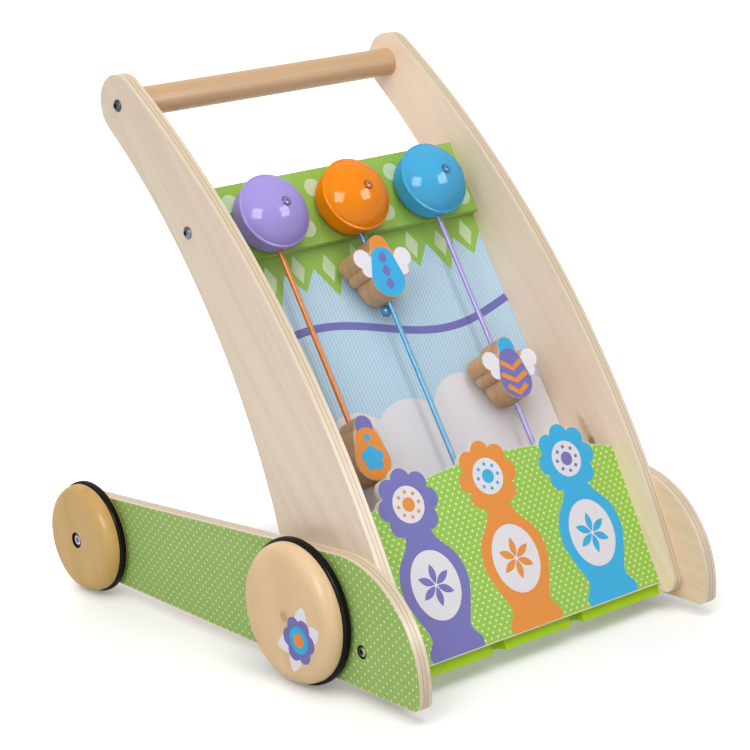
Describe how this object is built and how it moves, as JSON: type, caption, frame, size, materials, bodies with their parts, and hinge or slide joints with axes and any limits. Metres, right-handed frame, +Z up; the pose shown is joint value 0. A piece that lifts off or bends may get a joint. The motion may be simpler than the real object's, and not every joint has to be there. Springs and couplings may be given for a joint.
{
  "type": "toddler push toy",
  "caption": "Wooden toddler push toy with bowed side uprights, a round handle, rubber-tyred wheels and a slanted play panel with bells and sliders on rods.",
  "frame": {"origin": "centre of the bounding box on the floor plane", "axes": "+X to the right seen from the front, +Y towards the child who pushes, +Z up"},
  "size_m": [0.377, 0.4932, 0.4686],
  "materials": {
    "ply": "clear satin lacquer",
    "handle_wood": "clear satin lacquer",
    "wheel_wood": "clear satin lacquer",
    "board_green": "satin print",
    "sky_blue": "satin print",
    "meadow_green": "satin print",
    "lime": "satin paint",
    "slider_wood": "printed face, lacquered edge",
    "bead_blue": "gloss paint",
    "orange_metal": "gloss",
    "blue_metal": "gloss",
    "purple_metal": "gloss",
    "steel": "plated",
    "brass": "plain",
    "tyre": "satin rubber"
  },
  "bodies": {
    "frame": {"left_upright": "ply", "right_upright": "ply", "left_rail": "ply", "right_rail": "ply", "handle_bar": "handle_wood", "bell_board": "board_green", "sky_panel": "sky_blue", "front_panel": "meadow_green", "bottom_bar": "lime", "left_rod": "orange_metal", "centre_rod": "blue_metal", "right_rod": "purple_metal", "bell_posts": "ply", "left_bell_cup": "purple_metal", "centre_bell_cup": "orange_metal", "right_bell_cup": "blue_metal", "left_bell_dome": "purple_metal", "centre_bell_dome": "orange_metal", "right_bell_dome": "blue_metal", "bell_rivets": "steel", "handle_bolts": "steel", "board_bolts": "steel", "rail_bolts": "steel", "threaded_inserts": "brass", "locating_dowels": "ply", "rail_screws": "steel", "rear_axle_bolts": "steel", "rear_tee_nuts": "steel", "wheel_washers": "steel"},
    "front_wheelset": {"front_left_wheel": "wheel_wood", "front_right_wheel": "wheel_wood", "front_left_tyre": "tyre", "front_right_tyre": "tyre", "front_axle": "handle_wood"},
    "rear_left_wheel_set": {"rear_left_wheel": "wheel_wood", "rear_left_tyre": "tyre"},
    "rear_right_wheel_set": {"rear_right_wheel": "wheel_wood", "rear_right_tyre": "tyre"},
    "left_slider_set": {"left_slider": "slider_wood"},
    "centre_slider_set": {"centre_slider": "slider_wood", "slider_bead": "bead_blue"},
    "right_slider_set": {"right_slider": "slider_wood"}
  },
  "joints": [
    {"name": "front_axle_spin", "type": "hinge", "parent": "frame", "child": "front_wheelset", "pos_m": [0, -0.1086, 0.06135], "axis": [1, 0, 0], "continuous": true},
    {"name": "rear_left_spin", "type": "hinge", "parent": "frame", "child": "rear_left_wheel_set", "pos_m": [-0.17775, 0.1962, 0.05045], "axis": [1, 0, 0], "continuous": true},
    {"name": "rear_right_spin", "type": "hinge", "parent": "frame", "child": "rear_right_wheel_set", "pos_m": [0.17775, 0.1962, 0.05045], "axis": [1, 0, 0], "continuous": true},
    {"name": "left_slide", "type": "slide", "parent": "frame", "child": "left_slider_set", "axis": [0, 0.5299, 0.848], "range_m": [-0.095, 0.15]},
    {"name": "centre_slide", "type": "slide", "parent": "frame", "child": "centre_slider_set", "axis": [0, 0.5299, 0.848], "range_m": [-0.231, 0.004]},
    {"name": "right_slide", "type": "slide", "parent": "frame", "child": "right_slider_set", "axis": [0, 0.5299, 0.848], "range_m": [-0.128, 0.117]}
  ]
}
